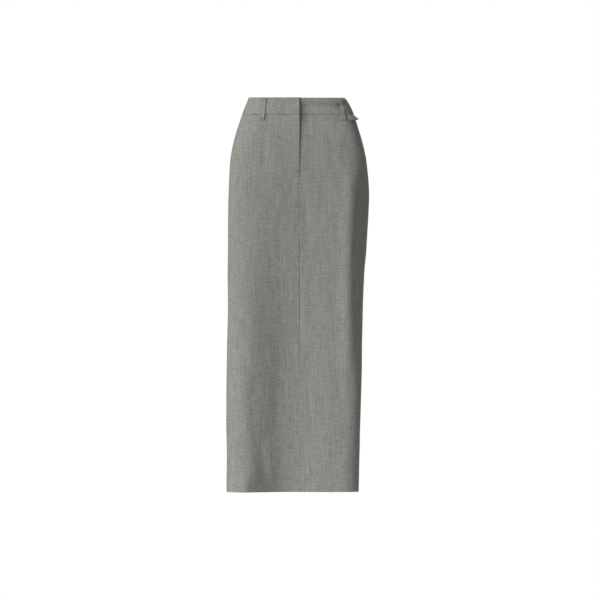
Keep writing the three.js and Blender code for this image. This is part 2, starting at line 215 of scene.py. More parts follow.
def column_at(rows, name, drop):
    """A column of a table at one drop or many, on a smooth curve through its rows."""
    x, y = rows["drop"].astype(float), rows[name].astype(float)
    slope = np.empty_like(y)
    slope[1:-1] = (y[2:] - y[:-2]) / (x[2:] - x[:-2])
    slope[0] = (y[1] - y[0]) / (x[1] - x[0])
    slope[-1] = (y[-1] - y[-2]) / (x[-1] - x[-2])
    k = np.clip(np.searchsorted(x, drop, side="right") - 1, 0, len(x) - 2)
    span = x[k + 1] - x[k]
    s = np.clip((drop - x[k]) / span, 0, 1)
    start_weight = 2 * s**3 - 3 * s**2 + 1
    leaving = (s**3 - 2 * s**2 + s) * span * slope[k]
    arriving = (s**3 - s**2) * span * slope[k + 1]
    return start_weight * y[k] + (1 - start_weight) * y[k + 1] + leaving + arriving


def wrapped(turn):
    return (turn + 2) % 4 - 2


def soft_noise(rng, across, down, shape):
    """Smooth random values from -1 to 1 that join up across, with so many swells across and down."""
    knots = rng.uniform(-1, 1, (down + 3, across))
    rows = np.linspace(0, down, shape[0])
    columns = np.linspace(0, across, shape[1])

    def along(values, places, axis_length, closed):
        i = np.floor(places).astype(int)
        t = places - i
        picked = []
        for step in (-1, 0, 1, 2):
            at = (i + step) % axis_length if closed else np.clip(i + step + 1, 0, axis_length - 1)
            picked.append(values[at])
        before, here, there, after = picked
        t = t.reshape(-1, *([1] * (values.ndim - 1)))
        bend = (2 * before - 5 * here + 4 * there - after) * t**2
        curl = (3 * (here - there) + after - before) * t**3
        return here + 0.5 * ((there - before) * t + bend + curl)

    stretched = along(knots, rows, down + 3, False)
    return along(stretched.T, columns, across, True).T


TURN_STEPS = 1280
RING_STEPS = 1440
LEVEL_STEP = 2.0


def build_surface():
    """Points and outward normals of the surface on a fine grid of levels and turns."""
    turns = np.linspace(-2, 2, TURN_STEPS + 1)
    level_count = round(LENGTH / LEVEL_STEP) + 3
    levels = np.linspace(HEM_Z - LEVEL_STEP, TOP_Z + LEVEL_STEP, level_count)
    flat = np.empty((level_count, TURN_STEPS + 1, 2))
    lengths = np.empty((level_count, 4))
    for i, z in enumerate(levels):
        drop = TOP_Z - z
        reach = {name: float(column_at(SECTIONS, name, drop)) for name in SECTIONS}
        square = {name: float(column_at(CORNERS, name, drop)) for name in CORNERS}
        centre = (reach["left"] - reach["right"]) / 2
        half_width = (reach["left"] + reach["right"]) / 2
        back_angle = math.pi / 2 - math.atan((reach["back_seam"] - centre) / reach["back"])
        front_angle = 1.5 * math.pi + math.atan((reach["front_seam"] - centre) / reach["front"])
        side_angle = math.atan(SIDE_TWIST / half_width)
        angles = back_angle + np.linspace(0, 2 * math.pi, RING_STEPS + 1)
        x, y = np.cos(angles), np.sin(angles)
        depth = np.where(y > 0, reach["back"], reach["front"])
        power = np.where(y > 0, square["back"], np.where(x < 0, square["right"], square["left"]))
        out = (abs(x / half_width) ** power + abs(y / depth) ** power) ** (-1 / power)
        x, y = centre + out * x, out * y
        along = np.concatenate([[0], np.cumsum(np.hypot(np.diff(x), np.diff(y)))])
        seam_angles = [back_angle, math.pi + side_angle, front_angle, 2 * math.pi + side_angle]
        seams = np.interp([*seam_angles, back_angle + 2 * math.pi], angles, along)
        places = np.interp(turns, SEAM_TURNS, seams)
        flat[i, :, 0] = np.interp(places, along, x)
        flat[i, :, 1] = np.interp(places, along, y)
        lengths[i] = np.diff(seams)
    push = relief(turns[None, :], levels[:, None], lengths)
    points = np.concatenate([flat, np.broadcast_to(levels[:, None, None], (*push.shape, 1))], axis=2)
    direction = around(flat)
    direction /= np.linalg.norm(direction, axis=2, keepdims=True)
    points[..., 0] += direction[..., 1] * push
    points[..., 1] -= direction[..., 0] * push
    normals = np.cross(around(points), np.gradient(points, axis=0))
    normals /= np.linalg.norm(normals, axis=2, keepdims=True)
    return {"points": points, "normals": normals, "lengths": lengths}


def around(grid):
    """Differences along the turn, which joins up at the centre back."""
    ahead = np.concatenate([grid[:, 1:], grid[:, 1:2]], axis=1)
    behind = np.concatenate([grid[:, -2:-1], grid[:, :-1]], axis=1)
    return ahead - behind


def relief(turn, z, lengths):
    """How far folds, creases, puckers and darts push the cloth out."""
    drop = TOP_Z - z
    quarter = lengths.sum(axis=1, keepdims=True) / 4
    push = np.zeros(np.broadcast(turn, z).shape)
    for turn_at, hem_turn, starts, full, rise, spread in zip(*(FOLDS[name] for name in FOLDS)):
        middle = mix(turn_at, hem_turn, np.clip((drop - starts) / (LENGTH - starts), 0, 1))
        away = wrapped(turn - middle) * quarter
        push += rise * smooth(drop, starts, full) * np.exp(-((away / spread) ** 2))
    for start, turn_at, end, end_turn, rise, spread in zip(*(CREASES[name] for name in CREASES)):
        share = (drop - start) / (end - start)
        fade = smooth(share, 0, CREASE_FADES[0]) * (1 - smooth(share, CREASE_FADES[1], 1))
        away = wrapped(turn - mix(turn_at, end_turn, share)) * quarter
        push += rise * fade * np.exp(-((away / spread) ** 2))
    rng = np.random.default_rng(7)
    for rise, across, down in UNEVEN:
        push += rise * soft_noise(rng, across, down, push.shape)
    below_band = smooth(drop, BAND_HEIGHT, BAND_HEIGHT + PUCKER["below_band"])
    for seam in SEAM_TURNS[:-1]:
        away = abs(wrapped(turn - seam)) * quarter
        waves = soft_noise(rng, 1, round(LENGTH / PUCKER["wave"]), push.shape)
        push += PUCKER["rise"] * waves * below_band * np.exp(-((away / PUCKER["spread"]) ** 2))
    for side in (-1, 1):
        away = wrapped(turn - side * DART["turn"]) * quarter
        taken = below_band * (1 - smooth(drop, DART["full_drop"], DART["end_drop"]))
        push += taken * DART["swell"] * np.exp(-((away / DART["swell_width"]) ** 2))
        push -= taken * DART["depth"] * np.exp(-((away / DART["width"]) ** 2))
    push += hem_wave(drop, rng, push.shape) + band_waves(turn, drop, quarter)
    return push


def hem_wave(drop, rng, shape):
    """The hem's edge isn't quite even: it swings in and out a little, most at the edge itself."""
    most = HEM_WAVE["swing"] * smooth(drop, LENGTH - HEM_WAVE["above_hem"], LENGTH)
    return most * soft_noise(rng, HEM_WAVE["swells"], 1, shape)


# Level creases in the left half of the waistband. Along it, in millimetres from the centre front,
# they start, gain twice and end.
BAND_WAVES = named_rows(
    "drop rise spread", [(8, 1.3, 5), (22, -2.4, 6), (34, 1.3, 5.5), (55, -1.7, 9)]
)
WAVE_LEAST = 0.3
WAVE_GAINS = ((0.5, 10, 70), (0.8, 76, 103))
WAVE_START = (2, 14)
WAVE_END = (107, 119)


def band_waves(turn, drop, quarter):
    """Level creases in and below the left half of the waistband, deeper towards the belt loop."""
    along = turn * quarter
    reach = WAVE_LEAST + sum(gain * smooth(along, start, full) for gain, start, full in WAVE_GAINS)
    reach = reach * smooth(along, *WAVE_START) * (1 - smooth(along, *WAVE_END))
    waves = sum(
        rise * np.exp(-(((drop - at) / spread) ** 2))
        for at, rise, spread in zip(*(BAND_WAVES[name] for name in BAND_WAVES))
    )
    return reach * waves + loop_groove(turn, drop, quarter)


# The two front belt loops and the three at the back, by the turn at the top edge and at the foot.
LOOPS = {
    "front_right": (-0.515, -0.466),
    "front_left": (0.612, 0.53),
    "back_right": (-1.44, -1.5),
    "back_left": (1.44, 1.5),
    "centre_back": (2, 2),
}
LOOP = {
    "width": 12, "head": 1.8, "foot": 36, "wall": 1.1, "fold": 2.4, "bow": 0.8, "clear": 0.3,
    "seat": 6, "ease": 16,
}
GROOVE = {"depth": 1.9, "spread": 2.2, "beside": 3.9, "starts": 0, "full": 6, "fades": 20, "gone": 44}


def loop_edge(drop, quarter):
    """The turn at which the band dips in beside the left front loop's front edge."""
    top, foot = LOOPS["front_left"]
    share = (drop - LOOP["head"]) / (TOP_Z + LOOP["foot"] - LOOP["head"])
    return mix(top, foot, share) - GROOVE["beside"] / quarter


def loop_groove(turn, drop, quarter):
    """The band puckers in along the front edge of the left front loop, more at its top."""
    away = (turn - loop_edge(drop, quarter)) * quarter
    share = smooth(drop, GROOVE["starts"], GROOVE["full"])
    share = share * (1 - smooth(drop, GROOVE["fades"], GROOVE["gone"]))
    return -GROOVE["depth"] * share * np.exp(-((away / GROOVE["spread"]) ** 2))


SURFACE = build_surface()


def sample(grid, turn, z):
    """Reads a grid of the surface at any turns and heights."""
    column = (wrapped(turn) + 2) / 4 * TURN_STEPS
    row = np.clip((z - HEM_Z + LEVEL_STEP) / (LENGTH + 2 * LEVEL_STEP), 0, 1) * (len(grid) - 1)
    i = np.clip(np.floor(row).astype(int), 0, len(grid) - 2)
    k = np.clip(np.floor(column).astype(int), 0, TURN_STEPS - 1)
    a, b = (row - i)[..., None], (column - k)[..., None]
    low = mix(grid[i, k], grid[i, k + 1], b)
    high = mix(grid[i + 1, k], grid[i + 1, k + 1], b)
    return mix(low, high, a)


def on_surface(turn, z, off):
    """Points that stand off from the surface by so much, in millimetres."""
    turn, z, off = np.broadcast_arrays(turn, z, off)
    normals = sample(SURFACE["normals"], turn, z)
    return sample(SURFACE["points"], turn, z) + normals * off[..., None]


def turn_length(turn, z):
    """Millimetres of cloth in one turn, at a place."""
    lengths = SURFACE["lengths"]
    row = np.clip((z - HEM_Z + LEVEL_STEP) / (LENGTH + 2 * LEVEL_STEP), 0, 1) * (len(lengths) - 1)
    i = np.clip(np.floor(row).astype(int), 0, len(lengths) - 2)
    k = np.clip(np.floor(wrapped(turn) + 2).astype(int), 0, 3)
    return mix(lengths[i, k], lengths[i + 1, k], row - i)


def quarter_length(middle, z):
    """Millimetres of cloth in one turn at each level, in the quarter that holds one turn."""
    return turn_length(np.full(z.shape, middle), z)


# Meshes

COLUMN_STEP = 3.3
ROW_STEP = 3.5
BESIDE_SEAM = (0, 0.25, 0.6, 1.1, 2.0, 3.4, 5.5, 8.5, 11.5, 12.8, 13.6)
BESIDE_FOLD = (0, 0.12, 0.4, 0.9, 1.6, 2.8, 4.6, 7.5)
BESIDE_DART = (0, 0.45, 0.9, 1.5, 2.3, 3.6, 6)
BESIDE_GROOVE = (0, 0.6, 1.2, 1.8, 2.5, 3.4, 5)
BESIDE_BAND_FOOT = (0, 0.3, 0.8, 1.6, 3)
BAND_ROW_STEP = 2.2
BESIDE_LOOP_END = (0, 0.15, 0.4, 0.8, 1.5)
BESIDE_LOOP_SIDE = (0, 0.12, 0.35, 0.7, 1.2, 2.2, 3.4, 4.6)
LOOP_ROW_STEP = 1.2
BESIDE_TAB_SIDE = (0, 0.12, 0.35, 0.65, 1.2, 2.4, 4, 6, 8)
PLAIN = (0,)
SHARP_FROM = 38  # degrees between faces at which an edge is shown sharp
ROUND_SHARE = 0.97  # of a quarter circle that a rounded edge takes, so its last step isn't too steep
THINNEST = 0.06


def columns(z, *stops):
    """Turns across a piece at each level. A stop is a turn, the same or one for each level, with
    the distances beside it at which columns lie closer together."""
    parts = []
    for (start, beside_start), (end, beside_end) in zip(stops, stops[1:]):
        start, end = np.broadcast_to(start, z.shape), np.broadcast_to(end, z.shape)
        scale = turn_length((start + end) / 2, z)[:, None]
        width = (end - start)[:, None] * scale
        first, last = np.array(beside_start), np.array(beside_end[::-1])
        room = width - first[-1] - last[0]
        count = max(round(room.max() / COLUMN_STEP), 2)
        between = first[-1] + room * np.linspace(0, 1, count + 1)[1:-1]
        along = [np.broadcast_to(first, (len(z), len(first))), between, width - last]
        turns = start[:, None] + np.concatenate(along, axis=1) / scale
        parts.append(turns[:, 1:] if parts else turns)
    return np.concatenate(parts, axis=1)


def rows(low, high, beside_low, beside_high, step=ROW_STEP):
    """Heights from low to high, closer together beside both ends."""
    first, last = low + np.array(beside_low), high - np.array(beside_high[::-1])
    count = max(round((last[0] - first[-1]) / step), 2)
    return np.concatenate([first, np.linspace(first[-1], last[0], count + 1)[1:-1], last])


def rounding(distance, radius, depth=None):
    """How far a face curves in at a distance from an edge of that radius."""
    near = ROUND_SHARE * np.clip(1 - distance / radius, 0, 1)
    return (radius if depth is None else depth) * (1 - np.sqrt(1 - near**2))


def grid_faces(row_count, column_count):
    """The quads of a closed sheet with an outer grid of points followed by an inner one."""
    index = np.arange(2 * row_count * column_count).reshape(2, row_count, column_count)
    outer, inner = index

    def quads(a, b, c, d):
        return np.stack([a.ravel(), b.ravel(), c.ravel(), d.ravel()], axis=1)

    return np.concatenate(
        [
            quads(outer[:-1, :-1], outer[:-1, 1:], outer[1:, 1:], outer[1:, :-1]),
            quads(inner[:-1, :-1], inner[1:, :-1], inner[1:, 1:], inner[:-1, 1:]),
            quads(outer[:-1, 0], outer[1:, 0], inner[1:, 0], inner[:-1, 0]),
            quads(outer[:-1, -1], inner[:-1, -1], inner[1:, -1], outer[1:, -1]),
            quads(outer[0, :-1], inner[0, :-1], inner[0, 1:], outer[0, 1:]),
            quads(outer[-1, :-1], outer[-1, 1:], inner[-1, 1:], inner[-1, :-1]),
        ]
    )


def new_piece(name, outer, inner, across, along, material):
    """A closed piece of cloth from its outer and inner faces in millimetres, with a UV map in
    metres of cloth across and along the grain."""
    row_count, column_count = outer.shape[:2]
    points = np.concatenate([outer.reshape(-1, 3), inner.reshape(-1, 3)]) * MM
    faces = grid_faces(row_count, column_count)
    mesh = bpy.data.meshes.new(name)
    mesh.from_pydata(points.tolist(), [], faces.tolist())
    flat = np.stack([np.broadcast_to(side, outer.shape[:2]) for side in (across, along)], axis=2)
    flat = np.tile(flat.reshape(-1, 2), (2, 1)) * MM
    uv = mesh.uv_layers.new(name="cloth")
    uv.data.foreach_set("uv", flat[faces.ravel()].astype(np.float32).ravel())
    mesh.shade_smooth()
    mesh.set_sharp_from_angle(angle=math.radians(SHARP_FROM))
    mesh.materials.append(material)
    piece = bpy.data.objects.new(name, mesh)
    bpy.context.collection.objects.link(piece)
    return piece


def wall(name, turn, z, over, under, middle, material, shift):
    """A piece that lies on the surface. Its grain runs straight down the nearest centre seam, and
    the shift in millimetres gives each piece its own stretch of the weave."""
    level = np.broadcast_to(z[:, None], turn.shape)
    centre = math.copysign(2, middle) if abs(middle) > 1 else 0
    scale = quarter_length(middle, z)
    across = (turn - centre) * scale[:, None] + shift
    outer, inner = on_surface(turn, level, over), on_surface(turn, level, under)
    return new_piece(name, outer, inner, across, level, material)


def distances(turn, z, middle):
    """Millimetres from each place to the first and last column, the lowest row and the highest."""
    scale = quarter_length(middle, z)[:, None]
    from_start, to_end = (turn - turn[:, :1]) * scale, (turn[:, -1:] - turn) * scale
    return from_start, to_end, (z - z[0])[:, None], (z[-1] - z)[:, None]


SEAM_ROLL = 0.8
SEAM_SINK = 0.35
BAND_FOOT_ROLL = 1.6
BAND_FOOT_SINK = 1.0
BAND_EDGE = BAND_WALL / 2 - 0.2  # how far the band's edges round in at most


def doubled(distance, depth):
    """1 where cloth is folded back on itself beside an edge, and 0 beyond."""
    return 1 - smooth(distance, depth - 0.8, depth + 0.4)


# How the fly and the vent open

HALF_GAP = 0.03
WAIST_GAP = 0.15
WAIST_SAG = 0.9  # how far the seam hangs below the band's nominal foot
FLY_END_Z = TOP_Z - FLY_DROP
FLY_CLOSED_Z = TOP_Z - FLY_CLOSES
VENT_Z = TOP_Z - VENT_DROP
PANEL_TOP = WAIST_SEAM_Z - WAIST_SAG - WAIST_GAP
BAND_FOOT = WAIST_SEAM_Z - WAIST_SAG + 2 * WAIST_GAP


def gap(z):
    return HALF_GAP / quarter_length(0.5, z)


def near_fly(turn, z):
    return 1 - smooth(abs(turn) * turn_length(turn, z), 0, FLY_REACH)


def fly_lift(turn, z):
    return column_at(FLY_STEP, "lift", TOP_Z - z) * near_fly(turn, z)


def fly_sink(turn, z):
    """The left side lies low beside the fly, sinks a little more, and comes up again further off."""
    away = np.maximum(turn, 0) * turn_length(np.abs(turn), z)
    sinks = 1 + FLY_HOLLOW["more"] * smooth(away, 0, FLY_HOLLOW["deepest"])
    rises = (1 + FLY_HOLLOW["more"]) * smooth(away, FLY_HOLLOW["turns"], FLY_HOLLOW["ends"])
    return column_at(FLY_STEP, "sink", TOP_Z - z) * (sinks - rises)


def beside_fly(turn, z):
    """How far what lies on the front stands off the surface: up on the right and down on the left."""
    return np.where(turn < 0, fly_lift(turn, z), -fly_sink(turn, z))


def panel_depths(turn, z, middle, end_fold):
    """How deep a panel's outer and inner faces lie below its off: seams roll in, a folded edge is
    round, and allowances and facings are two layers. The last column's edge is folded by a share
    from 0 to 1 at each level."""
    from_start, to_end, above_hem, below_top = distances(turn, z, middle)
    hem = rounding(above_hem, TWO_LAYERS / 2)
    outer = hem + rounding(below_top, SEAM_ROLL, SEAM_SINK)
    rounded = hem
    layers = np.maximum(doubled(above_hem, HEM_DEPTH), doubled(below_top, ALLOWANCE))
    for distance, fold in ((from_start, 0), (to_end, end_fold)):
        fold = np.broadcast_to(fold, z.shape)[:, None]
        edge = rounding(distance, TWO_LAYERS / 2)
        outer = outer + mix(rounding(distance, SEAM_ROLL, SEAM_SINK), edge, fold)
        rounded = rounded + fold * edge
        layers = np.maximum(layers, mix(doubled(distance, ALLOWANCE), doubled(distance, FACING), fold))
    inner = mix(CLOTH, TWO_LAYERS, layers) - rounded
    return outer, np.maximum(inner, outer + THINNEST)


def panel(name, z, stops, middle, off, shift, end_fold=0):
    turn = columns(z, *stops)
    outer, inner = panel_depths(turn, z, middle, end_fold)
    at_off = off(turn, z[:, None])
    return wall(name, turn, z, at_off - outer, at_off - inner, middle, SUITING, shift)


def band(name, z, stops, middle, off, shift):
    """Half of the waistband: cloth round a firm interlining, folded along its top edge."""
    turn = columns(z, *stops)
    from_start, to_end, above_seam, below_top = distances(turn, z, middle)
    edge = rounding(below_top, BAND_WALL / 2)
    start_radius, end_radius = (BAND_WALL / 2, SEAM_ROLL) if middle > 0 else (SEAM_ROLL, BAND_WALL / 2)
    edge = edge + rounding(from_start, start_radius) + rounding(to_end, end_radius)
    outer = np.minimum(edge + rounding(above_seam, BAND_FOOT_ROLL, BAND_FOOT_SINK), BAND_EDGE)
    inner = BAND_WALL - np.minimum(edge, BAND_EDGE)
    at_off = BAND_PROUD + off(turn, z[:, None])
    return wall(name, turn, z, at_off - outer, at_off - inner, middle, SUITING, shift)


# Materials. Each works in the metres of cloth of its UV map, or in the frame's own metres.


def linear(hex_code):
    """A colour written as on screen, turned into the linear values that shaders take."""
    channels = [int(hex_code[i : i + 2], 16) / 255 for i in (1, 3, 5)]
    straight = [c / 12.92 if c <= 0.04045 else ((c + 0.055) / 1.055) ** 2.4 for c in channels]
    return (*straight, 1)


def add(tree, kind, inputs=None, **settings):
    """Adds a node with its settings. An input is a value, or another node's output to link from."""
    node = tree.nodes.new(kind)
    for name, value in settings.items():
        setattr(node, name, value)
    for socket, value in (inputs or {}).items():
        if isinstance(value, bpy.types.NodeSocket):
            tree.links.new(value, node.inputs[socket])
        else:
            node.inputs[socket].default_value = value
    return node


def new_material(name):
    material = bpy.data.materials.new(name)
    material.use_nodes = True
    material.node_tree.nodes.clear()
    return material, material.node_tree


def finish_material(tree, shader_inputs):
    shader = add(tree, "ShaderNodeBsdfPrincipled", shader_inputs)
    add(tree, "ShaderNodeOutputMaterial", {"Surface": shader.outputs[0]})


def calculated(tree, operation, *values):
    """The result of a Math node on values or on other nodes' outputs."""
    return add(tree, "ShaderNodeMath", dict(enumerate(values)), operation=operation).outputs[0]


NOISE_HEIGHTS = 40.0  # columns of grains start at heights up to this many grains apart


def stretched_noise(tree, place, across, along):
    """Noise from 0 to 1 whose grains are so many metres across and along the cloth. Each column of
    grains starts at its own height, as yarns do."""
    scale = {0: place, 1: (1 / across, 1 / along, 1)}
    scaled = add(tree, "ShaderNodeVectorMath", scale, operation="MULTIPLY").outputs[0]
    parts = add(tree, "ShaderNodeSeparateXYZ", {0: scaled}).outputs
    column = calculated(tree, "FLOOR", parts[0])
    start = add(tree, "ShaderNodeTexWhiteNoise", {"W": column}, noise_dimensions="1D").outputs["Value"]
    height = calculated(tree, "MULTIPLY_ADD", start, NOISE_HEIGHTS, parts[1])
    grains = add(tree, "ShaderNodeCombineXYZ", {0: parts[0], 1: height}).outputs[0]
    inputs = {"Vector": grains, "Scale": 1.0, "Detail": 1.0, "Roughness": 0.55}
    return add(tree, "ShaderNodeTexNoise", inputs, noise_dimensions="2D").outputs[0]


def plain_weave(tree, place, pitch):
    """Height from -1 to 1 of a plain weave with that pitch in metres: one over, one under."""
    turned = add(tree, "ShaderNodeVectorMath", {0: place, "Scale": math.pi / pitch}, operation="SCALE")
    parts = add(tree, "ShaderNodeSeparateXYZ", {0: turned.outputs[0]}).outputs
    return calculated(tree, "MULTIPLY", *(calculated(tree, "SINE", parts[i]) for i in (0, 1)))


# Grains in the wool, as metres across and along, and how much each changes the brightness.
WARP_SLUB = (0.0024, 0.10, 0.30)
WARP_YARN = (0.0009, 0.045, 0.76)
WEFT_SLUB = (0.015, 0.0012, 0.80)
MELANGE = (0.0013, 0.0015, 0.62)
FIBRE = (0.0006, 0.004, 0.25)
WOOL_WARM = "#8d8a85"
WOOL_COOL = "#8a8a84"
TINT_PATCH = (0.009, 0.02)  # metres across and along of the patches of either tint
WEAVE_PITCH = 0.00055
WEAVE_SHARE = 0.35  # of the weave in the relief, beside the yarns of uneven thickness
YARN_HEIGHTS = (0.0011, 0.011)
WOOL_RELIEF = 0.00016
TAPE_PITCH = 0.0009
TAPE_RELIEF = 0.0002
PLATING_WEAR = (0.003, 0.003)


def make_suiting():
    """Wool suiting: long light and dark slubs down the cloth, short faint ones across, a fleck of
    dyed fibre between them, and a matt, slightly hairy surface."""
    material, tree = new_material("grey melange wool suiting")
    place = add(tree, "ShaderNodeUVMap", uv_map="cloth").outputs[0]
    grains = (WARP_SLUB, WARP_YARN, WEFT_SLUB, MELANGE, FIBRE)
    shade = 1 - sum(gain for _, _, gain in grains) / 2
    for across, along, gain in grains:
        noise = stretched_noise(tree, place, across, along)
        shade = calculated(tree, "MULTIPLY_ADD", noise, gain, shade)
    patch = stretched_noise(tree, place, *TINT_PATCH)
    fleck = add(tree, "ShaderNodeMapRange", {"Value": patch, "From Min": 0.35, "From Max": 0.65}).outputs[0]
    tints = {0: fleck, 6: linear(WOOL_WARM), 7: linear(WOOL_COOL)}
    tint = add(tree, "ShaderNodeMix", tints, data_type="RGBA")
    colour = add(tree, "ShaderNodeVectorMath", {0: tint.outputs[2], "Scale": shade}, operation="SCALE")
    weave = plain_weave(tree, place, WEAVE_PITCH)
    yarns = stretched_noise(tree, place, *YARN_HEIGHTS)
    height = calculated(tree, "MULTIPLY_ADD", weave, WEAVE_SHARE, yarns)
    bump = add(tree, "ShaderNodeBump", {"Height": height, "Strength": 0.5, "Distance": WOOL_RELIEF})
    finish_material(
        tree,
        {
            "Base Color": colour.outputs[0],
            "Roughness": 0.88,
            "Specular IOR Level": 0.25,
            "Sheen Weight": 0.04,
            "Sheen Roughness": 0.6,
            "Normal": bump.outputs[0],
        },
    )
    return material


def make_thread():
    """Sewing thread: a shade lighter than the cloth and a little glossy, so stitches just show."""
    material, tree = new_material("grey spun polyester thread")
    colour = {"Base Color": linear("#85847e"), "Roughness": 0.55, "Specular IOR Level": 0.4}
    finish_material(tree, colour)
    return material


def make_zip_tape():
    """Zip: closely woven tape, darker and smoother than the wool."""
    material, tree = new_material("grey woven polyester zip tape")
    place = add(tree, "ShaderNodeUVMap", uv_map="cloth").outputs[0]
    ribs = plain_weave(tree, place, TAPE_PITCH)
    bump = add(tree, "ShaderNodeBump", {"Height": ribs, "Strength": 0.5, "Distance": TAPE_RELIEF})
    look = {"Base Color": linear("#6d6c68"), "Roughness": 0.7, "Normal": bump.outputs[0]}
    finish_material(tree, look)
    return material


def make_nickel():
    """Hook and bar: stamped steel with bright nickel plating, slightly uneven."""
    material, tree = new_material("nickel-plated steel")
    place = add(tree, "ShaderNodeUVMap", uv_map="cloth").outputs[0]
    worn = stretched_noise(tree, place, *PLATING_WEAR)
    roughness = add(tree, "ShaderNodeMapRange", {"Value": worn, "To Min": 0.22, "To Max": 0.4}).outputs[0]
    look = {"Base Color": linear("#b9babb"), "Metallic": 1.0, "Roughness": roughness}
    finish_material(tree, look)
    return material


SUITING = make_suiting()
THREAD = make_thread()
ZIP_TAPE = make_zip_tape()
NICKEL = make_nickel()

# The four panels

BODY_ROWS = rows(HEM_Z, PANEL_TOP, BESIDE_FOLD, BESIDE_SEAM)
fly_folded = smooth(BODY_ROWS, FLY_CLOSED_Z, FLY_END_Z)
vent_folded = 1 - smooth(BODY_ROWS, VENT_Z - VENT["folds_over"], VENT_Z)
body_gap = gap(BODY_ROWS)


SEAM_RIDGE = {"starts": 190, "full": 430, "fades": 560, "gone": 720, "depth": 1.0, "width": 5}


def left_front_off(turn, z):
    """The left front sinks at the fly, and below it rolls up out of the centre seam."""
    drop = TOP_Z - z
    span = smooth(drop, SEAM_RIDGE["starts"], SEAM_RIDGE["full"])
    span = span * (1 - smooth(drop, SEAM_RIDGE["fades"], SEAM_RIDGE["gone"]))
    away = abs(turn) * quarter_length(0.5, z)
    return -fly_sink(turn, z) - span * SEAM_RIDGE["depth"] * (1 - smooth(away, 0, SEAM_RIDGE["width"]))


def left_back_off(turn, z):
    return np.zeros(np.broadcast(turn, z).shape)


def right_back_off(turn, z):
    """The right back sinks under the left one where the vent opens."""
    past = (turn + 2) * quarter_length(-1.5, z)
    opened = smooth(VENT_Z + VENT["underlap"] - z, 0, VENT["underlap"])
    return -VENT["sink"] * opened * (1 - smooth(past, VENT["level"], VENT["settled"]))


underlap = FLY_UNDERLAP / quarter_length(-0.5, BODY_ROWS)
vent_open = smooth(VENT_Z - BODY_ROWS, 0, VENT["underlap"])
vent_underlap = vent_open * VENT["underlap"] / quarter_length(-1.5, BODY_ROWS)

PANELS = [
    panel(
        "front_right_panel",
        BODY_ROWS,
        [(-1 + body_gap, BESIDE_SEAM), (-body_gap, BESIDE_FOLD)],
        -0.5,
        fly_lift,
        end_fold=fly_folded,
        shift=90,
    ),
    panel(
        "front_left_panel",
        BODY_ROWS,
        [(mix(body_gap, -underlap, fly_folded), BESIDE_SEAM), (1 - body_gap, BESIDE_SEAM)],
        0.5,
        left_front_off,
        shift=1370,
    ),
    panel(
        "back_right_panel",
        BODY_ROWS,
        [
            (-2 + body_gap - vent_underlap, BESIDE_SEAM),
            (-DART["turn"], BESIDE_DART),
            (-1 - body_gap, BESIDE_SEAM),
        ],
        -1.5,
        right_back_off,
        shift=2650,
    ),
    panel(
        "back_left_panel",
        BODY_ROWS,
        [(1 + body_gap, BESIDE_SEAM), (DART["turn"], BESIDE_DART), (2 - body_gap, BESIDE_SEAM)],
        1.5,
        left_back_off,
        end_fold=vent_folded,
        shift=3910,
    ),
]

# Waistband

BAND_ROWS = rows(BAND_FOOT, TOP_Z, BESIDE_BAND_FOOT, BESIDE_FOLD, BAND_ROW_STEP)
band_gap = gap(BAND_ROWS)
band_quarter = sum(quarter_length(turn, BAND_ROWS) for turn in (-1.5, -0.5, 0.5, 1.5)) / 4
SHIELD = {"width": 38, "inset": 9, "wall": 1.2}


def across_front(distance, z):
    """Millimetres from the centre front as a turn at each level."""
    side = -0.5 if distance < 0 else 0.5
    return distance / quarter_length(side, z)


BANDS = [
    band(
        "waistband_right_half",
        BAND_ROWS,
        [(-2 + band_gap, BESIDE_SEAM), (-1.0, PLAIN), (0, BESIDE_FOLD)],
        -1.0,
        fly_lift,
        510,
    ),
    band(
        "waistband_left_half",
        BAND_ROWS,
        [
            (across_front(-SHIELD["width"], BAND_ROWS), BESIDE_FOLD),
            (loop_edge(TOP_Z - BAND_ROWS, band_quarter), BESIDE_GROOVE),
            (1.0, PLAIN),
            (2 - band_gap, BESIDE_SEAM),
        ],
        1.0,
        lambda turn, z: -fly_sink(turn, z),
        2230,
    ),
]

# Behind the fly

ZIP = {"width": 24, "inset": 3, "wall": 0.8, "length": 148}
HOOK = {"starts": 8, "ends": 21, "height": 12, "wall": 1.4, "lift": 0.3}
LAYER_GAP = 0.25


def strip(name, low, high, width, inset, off, thickness, material, shift):
    """A flat strip from so far right of the centre front to so far left of it."""
    z = rows(low, high, BESIDE_FOLD[:5], BESIDE_FOLD[:5])
    turn = columns(
        z,
        (across_front(-width, z), BESIDE_FOLD[:6]),
        (across_front(inset, z), BESIDE_FOLD[:6]),
    )
    edge = np.minimum.reduce(np.broadcast_arrays(*distances(turn, z, -0.5)))
    round_off = rounding(edge, thickness / 2)
    at_off = off(turn, z[:, None])
    return wall(name, turn, z, at_off - round_off, at_off - thickness + round_off, -0.5, material, shift)


def zip_off(turn, z):
    return -fly_sink(turn, z) - TWO_LAYERS - LAYER_GAP


def shield_off(turn, z):
    return zip_off(turn, z) - ZIP["wall"] - LAYER_GAP


def hook_off(turn, z):
    return BAND_PROUD - fly_sink(turn, z) + HOOK["lift"] + HOOK["wall"]


fly_low = PANEL_TOP - FLY_DROP + BAND_HEIGHT
zip_low = PANEL_TOP - ZIP["length"]
fly_zip = strip(
    "zip_closed", zip_low, PANEL_TOP, ZIP["width"], ZIP["inset"], zip_off, ZIP["wall"], ZIP_TAPE, 0
)
fly_shield = strip(
    "fly_shield_strip", fly_low, PANEL_TOP, SHIELD["width"], SHIELD["inset"], shield_off,
    SHIELD["wall"], SUITING, 700,
)
waist_hook = strip(
    "hook_and_bar", -HOOK["height"] / 2, HOOK["height"] / 2, HOOK["ends"], -HOOK["starts"], hook_off,
    HOOK["wall"], NICKEL, 0,
)

# Belt loops: strips whose ends are folded under and sewn down, and that bow in between

